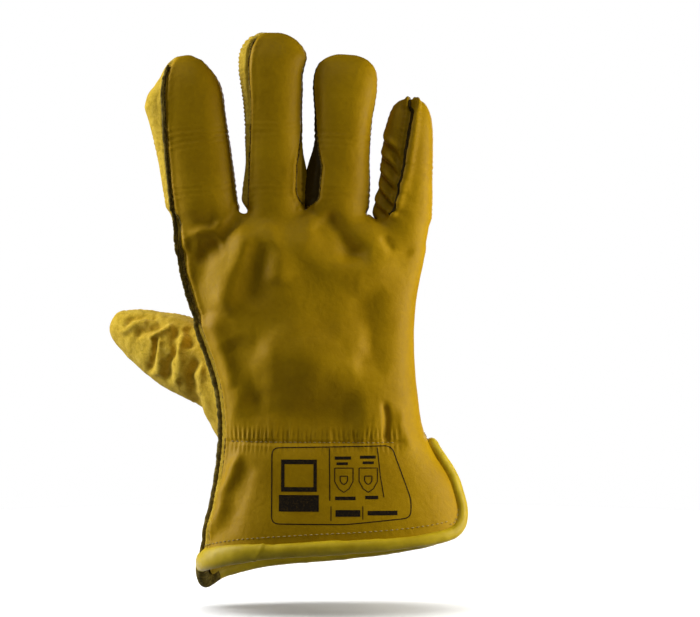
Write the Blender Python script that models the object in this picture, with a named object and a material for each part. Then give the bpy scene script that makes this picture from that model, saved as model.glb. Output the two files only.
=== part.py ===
"""A lined leather driver's work glove for the right hand, in the shape it takes on a hand.

The origin is the centre of the wrist opening. +Z runs to the fingertips, -Y is the back of the hand and +X
is the little-finger side. Lengths below are in millimetres, angles in degrees.

Every wall is a patch of a tube. A place on a tube is an angle round it (0 on its own side axis, 90 on its
back, 270 on its palm side), a distance along it, and a depth under its outer face.
"""

import math

import bmesh
import bpy
from mathutils import Matrix, Vector

MM = 0.001

# The leather, the lining and the gaps between them.
LEATHER = 1.6
LINING = 1.6
ELASTIC = 0.8
GAP = 0.3
LOOSE_GAP = 0.6
TOP_CLEARANCE = 0.9
BINDING_RADIUS = 3.9

# Half of each joint's range: the wedge that is left out on the palm side lets the joint close.
BASE_HALF_BEND = 30.0
MIDDLE_HALF_BEND = 35.0
THUMB_BASE_HALF_BEND = 17.5
THUMB_MIDDLE_HALF_BEND = 22.5

# Roundness of the tubes: 2 is an ellipse, more is squarer.
FINGER_SQUARENESS = 2.4
HAND_SQUARENESS = 2.5

# Along the hand: height, then the sides' x and the faces' y there.
HAND_STATIONS = [
    (-24, -66, 75, -31, 35),
    (8, -59, 74, -30, 33),
    (30, -55, 66, -26, 29),
    (54, -52, 50, -22, 25),
    (78, -54, 46, -21, 25),
    (100, -61, 44.5, -19, 22),
    (125, -70, 46, -17, 18),
    (150, -75, 51, -15, 15),
    (172, -78, 54, -13.5, 13.5),
]

# The hem, round the mouth: angle, then height. The vent is the notch at 0.
HEM = [
    (-180, -9.5),
    (-160, -18),
    (-140, -16.5),
    (-118, -12),
    (-90, -9),
    (-45, 0),
    (-22, 8),
    (-14, 22),
    (0, 50),
    (13, 30),
    (20, 17),
    (30, 9),
    (45, 5.5),
    (90, 1),
    (135, -3),
    (180, -9.5),
]

# Where the back of the hand meets the palm: the seam below the little finger and the one above the thumb.
HAND_SEAMS = (-25, 162)

# Along a finger, as a share of its length: half width and half thickness, as shares of those at its base.
FINGER_PROFILE = [
    (0, 1.0, 1.0),
    (0.35, 0.95, 0.95),
    (0.75, 0.97, 0.86),
    (0.88, 0.9, 0.68),
    (0.96, 0.68, 0.36),
    (1, 0.42, 0.06),
]
MIDDLE_JOINT = 0.46
LINING_END = 0.86

# Each finger: centre of its base, tip, half width, half thickness, and the seams of its back and its palm
# side. Between them is a fourchette, the strip sewn in between two fingers, or no strip where both are equal.
FINGERS = {
    "index": {
        "base": (-60.5, 0, 167.5), "tip": (-73, 2, 246), "half": (17.3, 12.5),
        "back": (25, 122), "palm": (122, 325),
    },
    "middle": {
        "base": (-25, 0, 168), "tip": (-27.5, 1, 257), "half": (16, 12.5),
        "back": (28, 148), "palm": (212, 328),
    },
    "ring": {
        "base": (8, 0, 165.5), "tip": (11, 1, 247.5), "half": (15.3, 12.5),
        "back": (28, 150), "palm": (212, 328),
    },
    "little": {
        "base": (39.5, 0, 160), "tip": (44.5, 3, 225), "half": (13.3, 11.5),
        "back": (-55, 118), "palm": (205, 305),
    },
}
THUMB = {
    "base": (-42, 17, 80), "tip": (-111.5, 48, 111), "half": (19, 16),
    "back": (-8, 188), "palm": (188, 352),
}
THUMB_HOLE_RADIUS = 21.5
THUMB_CLEARANCE = 1.0

# Which seams of a finger hold a fourchette, and the side it is on.
FOURCHETTES = {
    "index": ["outer"],
    "middle": ["inner", "outer"],
    "ring": ["inner", "outer"],
    "little": ["inner"],
}

COLOURS = {
    "grain_leather": ((0.50, 0.34, 0.02, 1), 0.5),
    "split_leather": ((0.62, 0.45, 0.08, 1), 0.9),
    "binding_leather": ((0.60, 0.44, 0.03, 1), 0.45),
    "elastic": ((0.75, 0.72, 0.62, 1), 0.8),
    "fleece": ((0.70, 0.66, 0.55, 1), 1.0),
}


def between(table, place):
    """The rest of a table's row at place, on a smooth curve through its rows."""
    place = min(max(place, table[0][0]), table[-1][0])
    i = max(k for k in range(len(table) - 1) if table[k][0] <= place or k == 0)
    before, here, there, after = (table[min(max(k, 0), len(table) - 1)] for k in (i - 1, i, i + 1, i + 2))
    span = there[0] - here[0]
    t = (place - here[0]) / span
    row = []
    for n in range(1, len(here)):
        leave = (there[n] - before[n]) / (there[0] - before[0]) * span
        arrive = (after[n] - here[n]) / (after[0] - here[0]) * span
        row.append(
            (2 * t**3 - 3 * t**2 + 1) * here[n]
            + (t**3 - 2 * t**2 + t) * leave
            + (3 * t**2 - 2 * t**3) * there[n]
            + (t**3 - t**2) * arrive
        )
    return row


def round_section(angle, squareness):
    """A unit superellipse's side and back coordinates at an angle."""
    c, s = math.cos(math.radians(angle)), math.sin(math.radians(angle))
    power = 2 / squareness
    return math.copysign(abs(c) ** power, c), math.copysign(abs(s) ** power, s)


def wedge(below, half_bend):
    """How far an end is cut back at a point this far to the palm side of its joint's axis."""
    return GAP / 2 + max(0.0, below) * math.tan(math.radians(half_bend))


class Digit:
    """A finger or the thumb: a tube that tapers to a flat tip, with a joint at its base and one near its middle."""

    def __init__(self, shape, side_hint, base_half_bend, middle_half_bend):
        self.base, self.tip = Vector(shape["base"]), Vector(shape["tip"])
        self.half_width, self.half_depth = shape["half"]
        self.along = (self.tip - self.base).normalized()
        self.length = (self.tip - self.base).length
        self.side = (side_hint - side_hint.dot(self.along) * self.along).normalized()
        self.back = self.side.cross(self.along)
        self.middle = MIDDLE_JOINT * self.length
        self.base_half_bend, self.middle_half_bend = base_half_bend, middle_half_bend

    def half_sizes(self, distance, depth):
        width, thickness = between(FINGER_PROFILE, distance / self.length)
        return max(self.half_width * width - depth, 0.2), max(self.half_depth * thickness - depth, 0.15)

    def point(self, angle, distance, depth):
        """A point at this angle and distance, with the tip's end moved in by the depth."""
        width, thickness = self.half_sizes(distance, depth)
        across, up = round_section(angle, FINGER_SQUARENESS)
        inset = depth * (distance / self.length) ** 8
        return (
            self.base + self.along * (distance - inset) + self.side * (across * width) + self.back * (up * thickness)
        )

    def end(self, angle, distance, depth, half_bend, direction):
        """Where a wall stops beside the joint at this distance, direction 1 beyond it and -1 before it."""
        _, thickness = self.half_sizes(distance, depth)
        below = -round_section(angle, FINGER_SQUARENESS)[1] * thickness
        return distance + direction * wedge(below, half_bend)

    def base_wall(self, angle, share, depth, last=None):
        start = self.end(angle, 0, depth, self.base_half_bend, 1)
        stop = self.end(angle, self.middle, depth, self.middle_half_bend, -1)
        return self.point(angle, start + share * (stop - start), depth)

    def tip_wall(self, angle, share, depth, last=1.0):
        start = self.end(angle, self.middle, depth, self.middle_half_bend, 1)
        return self.point(angle, start + share * (last * self.length - start), depth)

    def base_height_at(self, x):
        """The height of the base's plane at x."""
        return self.base.z - (x - self.base.x) * self.along.x / self.along.z

    def spans(self, x):
        return abs(x - self.base.x) <= self.half_width + 3


DIGITS = {
    name: Digit(shape, Vector((1, 0, 0)), BASE_HALF_BEND, MIDDLE_HALF_BEND) for name, shape in FINGERS.items()
}
DIGITS["thumb"] = Digit(THUMB, Vector((0, 0, 1)), THUMB_BASE_HALF_BEND, THUMB_MIDDLE_HALF_BEND)


def hand_point(angle, height, depth):
    """A point on the hand's tube."""
    left, right, back, palm = between(HAND_STATIONS, height)
    across, up = round_section(angle, HAND_SQUARENESS)
    return Vector((
        (left + right) / 2 + across * ((right - left) / 2 - depth),
        (back + palm) / 2 - up * ((palm - back) / 2 - depth),
        height,
    ))


def hem_height(angle):
    """The height of the hem at an angle round the mouth."""
    return between(HEM, (angle + 180) % 360 - 180)[0]


def top_height(angle, depth):
    """Where the hand's wall stops under the fingers, cut back on the palm side as the fingers' own walls are."""
    edge = hand_point(angle, min(digit.base.z for digit in DIGITS.values() if digit.along.z > 0.9), depth)
    heights = [
        digit.base_height_at(edge.x) for digit in DIGITS.values() if digit.along.z > 0.9 and digit.spans(edge.x)
    ]
    return min(heights) - wedge(edge.y, BASE_HALF_BEND) - TOP_CLEARANCE


def hand_wall(angle, share, depth):
    """The hand's wall from the hem to the fingers."""
    low = hem_height(angle)
    return hand_point(angle, low + share * (top_height(angle, depth) - low), depth)


def lining_wall(angle, share, depth):
    """The hand's lining, which starts clear of the binding."""
    low = max(hem_height(angle + turn) for turn in (-11, 0, 11)) + BINDING_RADIUS + 2
    return hand_point(angle, low + share * (top_height(angle, depth) - low), depth)


def even(start, stop, count):
    """Count steps from start to stop, both ends included."""
    return [start + (stop - start) * k / count for k in range(count + 1)]


def new_object(name, mesh, slot):
    """The mesh as a named object with the material of its slot."""
    mesh.materials.append(material(slot))
    mesh.shade_smooth()
    mesh.set_sharp_from_angle(angle=math.radians(40))
    made = bpy.data.objects.new(name, mesh)
    bpy.context.scene.collection.objects.link(made)
    return made


def material(slot):
    """The slot's material, made once."""
    found = bpy.data.materials.get(slot)
    if found:
        return found
    colour, roughness = COLOURS[slot]
    made = bpy.data.materials.new(slot)
    made.use_nodes = True
    shader = made.node_tree.nodes["Principled BSDF"]
    shader.inputs["Base Color"].default_value = colour
    shader.inputs["Roughness"].default_value = roughness
    shader.inputs["Metallic"].default_value = 0
    return made


def wall(name, slot, surface, angles, shares, depths, pivot=Vector((0, 0, 0)), round_tube=False, capped=False):
    """A closed wall between two depths of a surface, with its object's origin at the pivot.

    A round tube's angles go all the way round and leave out the last. Capped closes its far end.
    """
    bm = bmesh.new()
    faces = [
        [[bm.verts.new((surface(a, s, depth) - pivot) * MM) for a in angles] for s in shares] for depth in depths
    ]
    outer, inner = faces
    steps = len(angles) if round_tube else len(angles) - 1
    for i in range(len(shares) - 1):
        for j in range(steps):
            k = (j + 1) % len(angles)
            for sheet in faces:
                bm.faces.new((sheet[i][j], sheet[i][k], sheet[i + 1][k], sheet[i + 1][j]))
    for j in range(steps):
        k = (j + 1) % len(angles)
        bm.faces.new((outer[0][j], outer[0][k], inner[0][k], inner[0][j]))
        if not capped:
            bm.faces.new((outer[-1][j], outer[-1][k], inner[-1][k], inner[-1][j]))
    if capped:
        for sheet in faces:
            bm.faces.new(sheet[-1])
    if not round_tube:
        for i in range(len(shares) - 1):
            for edge in (0, -1):
                bm.faces.new((outer[i][edge], outer[i + 1][edge], inner[i + 1][edge], inner[i][edge]))
    bmesh.ops.recalc_face_normals(bm, faces=bm.faces)
    mesh = bpy.data.meshes.new(name)
    bm.to_mesh(mesh)
    bm.free()
    made = new_object(name, mesh, slot)
    made.location = pivot * MM
    return made


def joint_empty(name, place, parent=None):
    """An empty on a joint's axis, which holds what turns with it."""
    made = bpy.data.objects.new(name, None)
    bpy.context.scene.collection.objects.link(made)
    made.location = place * MM
    keep_place(made, parent)
    return made


def keep_place(child, parent):
    """Parents the child and leaves it where it is."""
    if parent:
        bpy.context.view_layer.update()
        child.parent = parent
        child.matrix_parent_inverse = parent.matrix_world.inverted()


def strips_of(name, shape):
    """A digit's strips round its tube: name, slot, first and last angle."""
    slot = "grain_leather" if name != "thumb" else "split_leather"
    strips = [("back", slot, *shape["back"]), ("palm", "split_leather", *shape["palm"])]
    for side in FOURCHETTES.get(name, []):
        if side == "outer":
            strips.append(("outer_fourchette", "grain_leather", shape["palm"][1] - 360, shape["back"][0]))
        else:
            strips.append(("inner_fourchette", "grain_leather", shape["back"][1], shape["palm"][0]))
    return strips


def make_digit(name, shape):
    """A finger or the thumb: its leather strips and its lining, in a base part and a tip part."""
    digit = DIGITS[name]
    knuckle = digit.base + digit.along * digit.middle
    base_empty = joint_empty(f"{name}_base_joint", digit.base)
    tip_empty = joint_empty(f"{name}_middle_joint", knuckle, base_empty)
    base_shares, tip_shares = even(0, 1, 3), [0, 0.35, 0.65, 0.8, 0.9, 0.96, 1]
    parts = [
        ("base", digit.base_wall, base_shares, digit.base, base_empty),
        ("tip", digit.tip_wall, tip_shares, knuckle, tip_empty),
    ]
    edge_gap = math.degrees(GAP / 2 / digit.half_depth)
    for part, surface, shares, pivot, empty in parts:
        for strip, slot, first, last in strips_of(name, shape):
            count = max(2, round((last - first) / 17))
            made = wall(
                f"{name}_{strip}_{part}", slot, surface, even(first + edge_gap, last - edge_gap, count), shares,
                (0, LEATHER), pivot,
            )
            keep_place(made, empty)
        outer = LEATHER + LOOSE_GAP
        lining_shares = base_shares if part == "base" else even(0, LINING_END, 4)
        made = wall(
            f"{name}_lining_{part}", "fleece", surface, even(0, 360, 18)[:-1], lining_shares,
            (outer, outer + LINING), pivot, round_tube=True, capped=part == "tip",
        )
        keep_place(made, empty)


def cutter(name, mesh):
    """A helper that only cuts."""
    made = bpy.data.objects.new(name, mesh)
    bpy.context.scene.collection.objects.link(made)
    made.hide_render = True
    made.display_type = "WIRE"
    return made


def cut(target, tool):
    """Takes the tool's space out of the target."""
    modifier = target.modifiers.new(f"cut_{tool.name}", "BOOLEAN")
    modifier.operation = "DIFFERENCE"
    modifier.solver = "EXACT"
    modifier.object = tool


def thumb_space():
    """A cutter that clears the hand's wall for the thumb: its joint's ball and the thumb, hulled through its turn."""
    thumb = DIGITS["thumb"]
    bm = bmesh.new()
    bmesh.ops.create_icosphere(bm, subdivisions=2, radius=THUMB_HOLE_RADIUS * MM)
    bmesh.ops.delete(bm, geom=bm.edges, context="EDGES_FACES")
    for turn in even(0, 2 * THUMB_BASE_HALF_BEND, 2):
        turned = Matrix.Rotation(math.radians(turn), 3, -thumb.side)
        for distance in (0, thumb.length / 3, thumb.length * 2 / 3):
            for angle in even(0, 360, 20)[:-1]:
                bm.verts.new(turned @ (thumb.point(angle, distance, -THUMB_CLEARANCE) - thumb.base) * MM)
    bmesh.ops.convex_hull(bm, input=bm.verts)
    loose = [vertex for vertex in bm.verts if not vertex.link_faces]
    bmesh.ops.delete(bm, geom=loose, context="VERTS")
    bmesh.ops.recalc_face_normals(bm, faces=bm.faces)
    mesh = bpy.data.meshes.new("thumb_space_cutter")
    bm.to_mesh(mesh)
    bm.free()
    tool = cutter("thumb_space_cutter", mesh)
    tool.location = thumb.base * MM
    return tool


def hem_loop(count):
    """Points round the mouth, in the middle of the leather on the hem."""
    turns = [360 * k / count for k in range(count)]
    middle = LEATHER / 2
    return [hand_point(a, hem_height(a), middle) for a in turns]


def even_loop(points, count):
    """Count points spaced evenly along a closed loop."""
    closed = points + points[:1]
    travelled = [0.0]
    for here, there in zip(closed, closed[1:]):
        travelled.append(travelled[-1] + (there - here).length)
    spaced = []
    for k in range(count):
        at = travelled[-1] * k / count
        i = max(n for n in range(len(travelled)) if travelled[n] <= at)
        share = (at - travelled[i]) / (travelled[i + 1] - travelled[i])
        spaced.append(closed[i].lerp(closed[i + 1], share))
    return spaced


def ring_rod(name, radius, sides, count):
    """A round rod along the hem, as a mesh."""
    centre = even_loop(hem_loop(720), count)
    bm = bmesh.new()
    rings = []
    for k, here in enumerate(centre):
        ahead = (centre[(k + 1) % count] - centre[k - 1]).normalized()
        out = Vector((here.x, here.y, 0)).normalized()
        out = (out - out.dot(ahead) * ahead).normalized()
        up = ahead.cross(out)
        turns = [2 * math.pi * j / sides for j in range(sides)]
        rings.append([
            bm.verts.new((here + (out * math.cos(t) + up * math.sin(t)) * radius) * MM) for t in turns
        ])
    for k in range(count):
        for j in range(sides):
            low, high, n = rings[k], rings[(k + 1) % count], (j + 1) % sides
            bm.faces.new((low[j], low[n], high[n], high[j]))
    bmesh.ops.recalc_face_normals(bm, faces=bm.faces)
    mesh = bpy.data.meshes.new(name)
    bm.to_mesh(mesh)
    bm.free()
    return mesh


def make_hand():
    """The hand and cuff: back, palm, wrist elastic, lining, and the binding round the mouth."""
    little_seam, thumb_seam = HAND_SEAMS
    edge_gap = 0.4
    back_angles = even(little_seam + edge_gap, thumb_seam - edge_gap, 22)
    palm_angles = even(thumb_seam + edge_gap, little_seam + 360 - edge_gap, 20)
    shares = even(0, 1, 9)
    back = wall("hand_back", "grain_leather", hand_wall, back_angles, shares, (0, LEATHER))
    palm = wall("hand_palm", "split_leather", hand_wall, palm_angles, shares, (0, LEATHER))
    outer = LEATHER + ELASTIC + 3 * LOOSE_GAP
    lining = wall(
        "hand_lining", "fleece", lining_wall, even(0, 360, 32)[:-1], even(0, 1, 7), (outer, outer + LINING),
        round_tube=True,
    )
    wrist = (50, 58)
    wall(
        "wrist_elastic", "elastic", lambda a, s, d: hand_point(a, wrist[0] + s * (wrist[1] - wrist[0]), d),
        even(22.5, 146.25, 11), (0, 1), (LEATHER + LOOSE_GAP, LEATHER + LOOSE_GAP + ELASTIC),
    )
    new_object("cuff_binding", ring_rod("cuff_binding", BINDING_RADIUS, 8, 64), "binding_leather")
    groove = cutter("binding_cutter", ring_rod("binding_cutter", BINDING_RADIUS + GAP, 8, 64))
    for piece in (back, palm):
        cut(piece, groove)
    for piece in (back, palm, lining):
        cut(piece, THUMB_SPACE)


for old in list(bpy.data.objects):
    bpy.data.objects.remove(old)

THUMB_SPACE = thumb_space()
make_hand()
for digit_name, digit_shape in {**FINGERS, "thumb": THUMB}.items():
    make_digit(digit_name, digit_shape)
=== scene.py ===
"""The look of a lined leather work glove for the right hand, on its CAD frame.

Lengths here are in millimetres, and turn into metres when a mesh is made. +Z runs to the fingertips, -Y is
the back of the hand, +X is the little-finger side. One blank skin is made from tubes, given its folds, and
then cut into panels; the hand's panels ride on the frame's hand body.
"""

import math

import bmesh
import bpy
import numpy as np
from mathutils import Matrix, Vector
from mathutils.bvhtree import BVHTree


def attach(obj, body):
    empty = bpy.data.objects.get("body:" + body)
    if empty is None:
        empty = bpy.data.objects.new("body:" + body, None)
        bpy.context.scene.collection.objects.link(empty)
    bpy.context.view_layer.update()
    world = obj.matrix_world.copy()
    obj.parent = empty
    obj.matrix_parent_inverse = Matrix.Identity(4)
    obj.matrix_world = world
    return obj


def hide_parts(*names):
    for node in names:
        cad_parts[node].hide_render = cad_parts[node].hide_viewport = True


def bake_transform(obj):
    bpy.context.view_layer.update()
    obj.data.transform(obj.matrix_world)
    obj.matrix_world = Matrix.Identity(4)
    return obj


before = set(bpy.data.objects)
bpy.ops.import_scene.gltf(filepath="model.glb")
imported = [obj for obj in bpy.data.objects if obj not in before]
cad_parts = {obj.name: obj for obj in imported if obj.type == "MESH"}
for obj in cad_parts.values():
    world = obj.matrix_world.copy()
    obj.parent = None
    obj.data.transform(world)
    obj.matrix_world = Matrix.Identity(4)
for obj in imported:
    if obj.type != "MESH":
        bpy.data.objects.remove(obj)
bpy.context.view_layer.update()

MM = 0.001
VOXEL = 0.85
# How many passes over this skin smooth as much as one over a skin of 0.85 mm faces.
FINER = (0.85 / VOXEL) ** 2

# Along the hand: height, then the sides' x and the faces' y there.
HAND_STATIONS = [
    (-30, -67, 76, -31.5, 36),
    (8, -59, 74, -30, 33),
    (30, -55, 66, -26, 29),
    (54, -52, 50, -22, 25),
    (78, -54, 46, -21, 25),
    (100, -61, 44.5, -19, 22),
    (125, -70, 46, -17, 18),
    (150, -75, 51, -15, 15),
    (175, -78, 54, -13.5, 13.5),
]
HAND_SQUARENESS = 2.5

# The hem, round the mouth: angle, then height. The vent is the notch at 0.
HEM = [
    (-180, -9.5), (-170, -16.5), (-160, -20), (-147, -17), (-118, -12), (-90, -9), (-45, 0), (-22, 8),
    (-14, 22), (0, 50), (13, 30), (20, 17), (30, 9), (45, 5.5), (90, 1), (135, -3), (180, -9.5),
]
HAND_SEAMS = (-25, 162)

# Each digit: base, tip, half width, half thickness, and the angles of its seams.
DIGITS = {
    "index": {
        "base": (-60.5, 0, 167.5), "tip": (-71.5, 2, 245.5), "half": (18, 12.5),
        "seams": {
            "back_outer": 4,
            "back_inner": [(0, 149), (0.35, 143), (0.55, 137), (0.7, 129), (0.8, 128), (1, 134)],
            "palm_outer": 325,
        },
    },
    "middle": {
        "base": (-25, 0, 168), "tip": (-27.5, 1, 257), "half": (16, 12.5),
        "seams": {
            "back_outer": [(0, 4), (0.03, 30), (0.08, 42), (0.24, 38), (0.44, 10), (1, 6)],
            "back_inner": [(0, 156), (0.2, 150), (0.4, 142), (0.6, 135), (0.85, 127), (1, 122)],
            "palm_inner": 212, "palm_outer": 328,
        },
    },
    "ring": {
        "base": (6.5, 0, 165.5), "tip": (11, 1, 246), "half": (15.5, 12.5),
        "seams": {
            "back_outer": 6, "palm_inner": 212,
            "back_inner": [
                (0, 172), (0.03, 150), (0.08, 132), (0.28, 128), (0.5, 160), (0.65, 170), (1, 172),
            ],
            "palm_outer": 328,
        },
    },
    "little": {
        "base": (39.5, 0, 160), "tip": (43.5, 3, 223.5), "half": (13.8, 11.5),
        "seams": {
            "back_inner": [(0, 140), (0.05, 122), (0.12, 110), (0.4, 97), (0.8, 88), (1, 84)],
            "palm_inner": 205,
            "palm_outer": [(0, 332), (0.4, 314), (1, 305)],
        },
    },
    "thumb": {
        "base": (-42, 17, 80), "tip": (-111.5, 48, 111), "half": (19, 16),
        "seams": {"back_inner": 188, "palm_outer": 352},
    },
}
FINGER_SQUARENESS = 2.4

# Along a finger, as a share of its length: half width and half thickness, as shares of those at its base.
FINGER_PROFILE = [
    (-0.3, 0.72, 0.66), (-0.12, 0.8, 0.86), (0, 0.89, 1.0), (0.12, 0.88, 0.98), (0.25, 0.9, 0.96),
    (0.45, 0.9, 0.93), (0.62, 0.93, 0.9), (0.8, 1.04, 0.84), (0.9, 0.98, 0.7), (0.955, 0.8, 0.52),
    (0.985, 0.56, 0.34), (1.0, 0.32, 0.2),
]
INDEX_PROFILE = [
    (-0.3, 0.72, 0.66), (-0.12, 0.9, 0.86), (0, 0.95, 1.0), (0.25, 0.95, 0.96), (0.45, 0.95, 0.93),
    (0.62, 0.95, 0.9), (0.74, 0.95, 0.84), (0.83, 0.84, 0.76), (0.91, 0.64, 0.6), (0.96, 0.46, 0.42),
    (1.0, 0.22, 0.2),
]
LITTLE_PROFILE = [
    (-0.3, 0.72, 0.66), (-0.12, 0.84, 0.86), (0, 0.92, 1.0), (0.3, 0.96, 0.95), (0.6, 0.93, 0.92),
    (0.78, 0.86, 0.84), (0.88, 0.76, 0.7), (0.95, 0.6, 0.5), (0.985, 0.44, 0.34), (1.0, 0.28, 0.2),
]
THUMB_PROFILE = [
    (-0.2, 0.8, 0.8), (0, 1.04, 1.0), (0.3, 1.03, 0.98), (0.5, 1.0, 0.92), (0.65, 0.87, 0.84),
    (0.76, 0.74, 0.74), (0.86, 0.6, 0.62), (0.94, 0.46, 0.46), (0.985, 0.33, 0.32), (1.0, 0.2, 0.2),
]

PROFILES = {"index": INDEX_PROFILE, "little": LITTLE_PROFILE, "thumb": THUMB_PROFILE}

# Seams whose back panel overhangs them, so that they are deep folds, with a strip of painted shadow laid in
# each.
SHADOWED_SEAMS = [("little", "back_inner")]


# ---------------------------------------------------------------- curves and noise


def between(table, place):
    """The rest of a table's row at place, on a smooth curve through its rows."""
    place = min(max(place, table[0][0]), table[-1][0])
    i = max(k for k in range(len(table) - 1) if table[k][0] <= place or k == 0)
    before, here, there, after = (table[min(max(k, 0), len(table) - 1)] for k in (i - 1, i, i + 1, i + 2))
    span = there[0] - here[0]
    t = (place - here[0]) / span
    row = []
    for n in range(1, len(here)):
        leave = (there[n] - before[n]) / (there[0] - before[0]) * span
        arrive = (after[n] - here[n]) / (after[0] - here[0]) * span
        row.append(
            (2 * t**3 - 3 * t**2 + 1) * here[n]
            + (t**3 - 2 * t**2 + t) * leave
            + (3 * t**2 - 2 * t**3) * there[n]
            + (t**3 - t**2) * arrive
        )
    return row


def round_section(angle, squareness):
    """A unit superellipse's side and back coordinates at an angle."""
    c, s = math.cos(math.radians(angle)), math.sin(math.radians(angle))
    power = 2 / squareness
    return math.copysign(abs(c) ** power, c), math.copysign(abs(s) ** power, s)


def smooth(x, low, high):
    """0 below low, 1 above high, and a smooth step in between."""
    t = np.clip((x - low) / (high - low), 0, 1)
    return t * t * (3 - 2 * t)


def unit(vector):
    return vector / np.linalg.norm(vector)


def fade(x, low, high):
    """1 below low, 0 above high, and a smooth step in between."""
    return 1 - smooth(x, low, high)


def hump(x, width):
    """1 at 0, and falling smoothly to about a third this far away."""
    return np.exp(-(x / width) ** 2)


def noise(points, size, seed):
    """Smooth noise from -1 to 1 with features of this size."""
    lattice = np.random.RandomState(seed).uniform(-1, 1, (32, 32, 32))
    p = np.asarray(points) / size
    low = np.floor(p).astype(int)
    t = p - low
    t = t * t * (3 - 2 * t)
    total = np.zeros(len(p))
    for dx in (0, 1):
        for dy in (0, 1):
            for dz in (0, 1):
                corner = low + (dx, dy, dz)
                weight = np.prod(np.where((dx, dy, dz), t, 1 - t), axis=1)
                total += weight * lattice[tuple(corner.T % 32)]
    return total


def layered(points, size, seed, layers=3):
    """Noise with finer layers on it."""
    return sum(noise(points, size / 2**k, seed + k) / 2**k for k in range(layers)) / 1.5


def to_path(points, path):
    """How far each point is from a path of 2-D points, and its share of the way along it."""
    best = np.full(len(points), 1e9)
    share = np.zeros(len(points))
    legs = [math.dist(a, b) for a, b in zip(path, path[1:])]
    gone, whole = 0.0, sum(legs)
    for (a, b), leg in zip(zip(path, path[1:]), legs):
        a, b = np.array(a, float), np.array(b, float)
        t = np.clip((points - a) @ (b - a) / leg**2, 0, 1)
        far = np.linalg.norm(points - (a + t[:, None] * (b - a)), axis=1)
        near = far < best
        best[near] = far[near]
        share[near] = (gone + t[near] * leg) / whole
        gone += leg
    return best, share


# ---------------------------------------------------------------- the tubes


class Digit:
    """A finger or the thumb as a tube."""

    def __init__(self, name, shape):
        self.name = name
        self.base, self.tip = np.array(shape["base"], float), np.array(shape["tip"], float)
        self.half_width, self.half_depth = shape["half"]
        self.length = np.linalg.norm(self.tip - self.base)
        self.along = unit(self.tip - self.base)
        hint = np.array((0.0, 0, 1) if name == "thumb" else (1.0, 0, 0))
        self.side = unit(hint - hint.dot(self.along) * self.along)
        self.back = np.cross(self.side, self.along)
        self.profile = PROFILES.get(name, FINGER_PROFILE)
        self.seams = {
            edge: angle if isinstance(angle, list) else [(0, angle), (1, angle)]
            for edge, angle in shape["seams"].items()
        }

    def seam_angle(self, edge, share):
        table = np.array(self.seams[edge], float)
        return np.interp(share, table[:, 0], table[:, 1])

    def point(self, angle, distance, out=0.0):
        width, depth = between(self.profile, distance / self.length)
        across, up = round_section(angle, FINGER_SQUARENESS)
        return (
            self.base
            + self.along * distance
            + self.side * (across * (self.half_width * width + out))
            + self.back * (up * (self.half_depth * depth + out))
        )

    def spread(self, points):
        """How far each point is from the digit's axis, 1 at its half width and half thickness."""
        v = points - self.base
        return np.hypot((v @ self.side) / self.half_width, (v @ self.back) / self.half_depth)

    def place(self, points):
        """Each point's distance along, its angle round and how far out it is, 1 on the tube itself."""
        v = points - self.base
        along = v @ self.along
        share = np.clip(along / self.length, self.profile[0][0], 1)
        table = np.array(self.profile)
        width = np.interp(share, table[:, 0], table[:, 1]) * self.half_width
        depth = np.interp(share, table[:, 0], table[:, 2]) * self.half_depth
        x, y = (v @ self.side) / width, (v @ self.back) / depth
        power = FINGER_SQUARENESS / 2
        angle = np.degrees(np.arctan2(np.sign(y) * np.abs(y) ** power, np.sign(x) * np.abs(x) ** power))
        out = (np.abs(x) ** FINGER_SQUARENESS + np.abs(y) ** FINGER_SQUARENESS) ** (1 / FINGER_SQUARENESS)
        return along, angle % 360, out


FINGERS = {name: Digit(name, shape) for name, shape in DIGITS.items()}


def hand_point(angle, height, depth=0.0):
    left, right, back, palm = between(HAND_STATIONS, height)
    across, up = round_section(angle, HAND_SQUARENESS)
    return np.array((
        (left + right) / 2 + across * ((right - left) / 2 - depth),
        (back + palm) / 2 - up * ((palm - back) / 2 - depth),
        height,
    ))


def hand_angle(points):
    """Each point's angle round the hand's tube."""
    table = np.array(HAND_STATIONS, float)
    z = points[:, 2]
    left, right, back, palm = (np.interp(z, table[:, 0], table[:, k]) for k in (1, 2, 3, 4))
    x = (points[:, 0] - (left + right) / 2) / ((right - left) / 2)
    y = -(points[:, 1] - (back + palm) / 2) / ((palm - back) / 2)
    power = HAND_SQUARENESS / 2
    return np.degrees(np.arctan2(np.sign(y) * np.abs(y) ** power, np.sign(x) * np.abs(x) ** power))


def hem_height(angle):
    return between(HEM, (angle + 180) % 360 - 180)[0]


def tube(bm, rings):
    """Adds a closed tube through rings of points."""
    made = [[bm.verts.new(Vector(p) * MM) for p in ring] for ring in rings]
    count = len(made[0])
    for low, high in zip(made, made[1:]):
        for j in range(count):
            k = (j + 1) % count
            bm.faces.new((low[j], low[k], high[k], high[j]))
    bm.faces.new(made[0][::-1])
    bm.faces.new(made[-1])


def digit_rings(digit):
    first = digit.profile[0][0]
    shares = list(np.linspace(first, 0.85, 16)) + [0.88, 0.91, 0.94, 0.96, 0.975, 0.985, 0.993, 1.0]
    return [[digit.point(a, s * digit.length) for a in range(0, 360, 6)] for s in shares]


def knuckle_line(x):
    """The height of the hand's top edge, where the fingers part."""
    places = [-78, -51, -44, -37, -16, -9, -2, 12, 22, 30, 38, 54]
    return np.interp(x, places, [163, 163, 168.5, 164, 164, 169.5, 165, 165, 165, 162, 157, 152])


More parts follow.
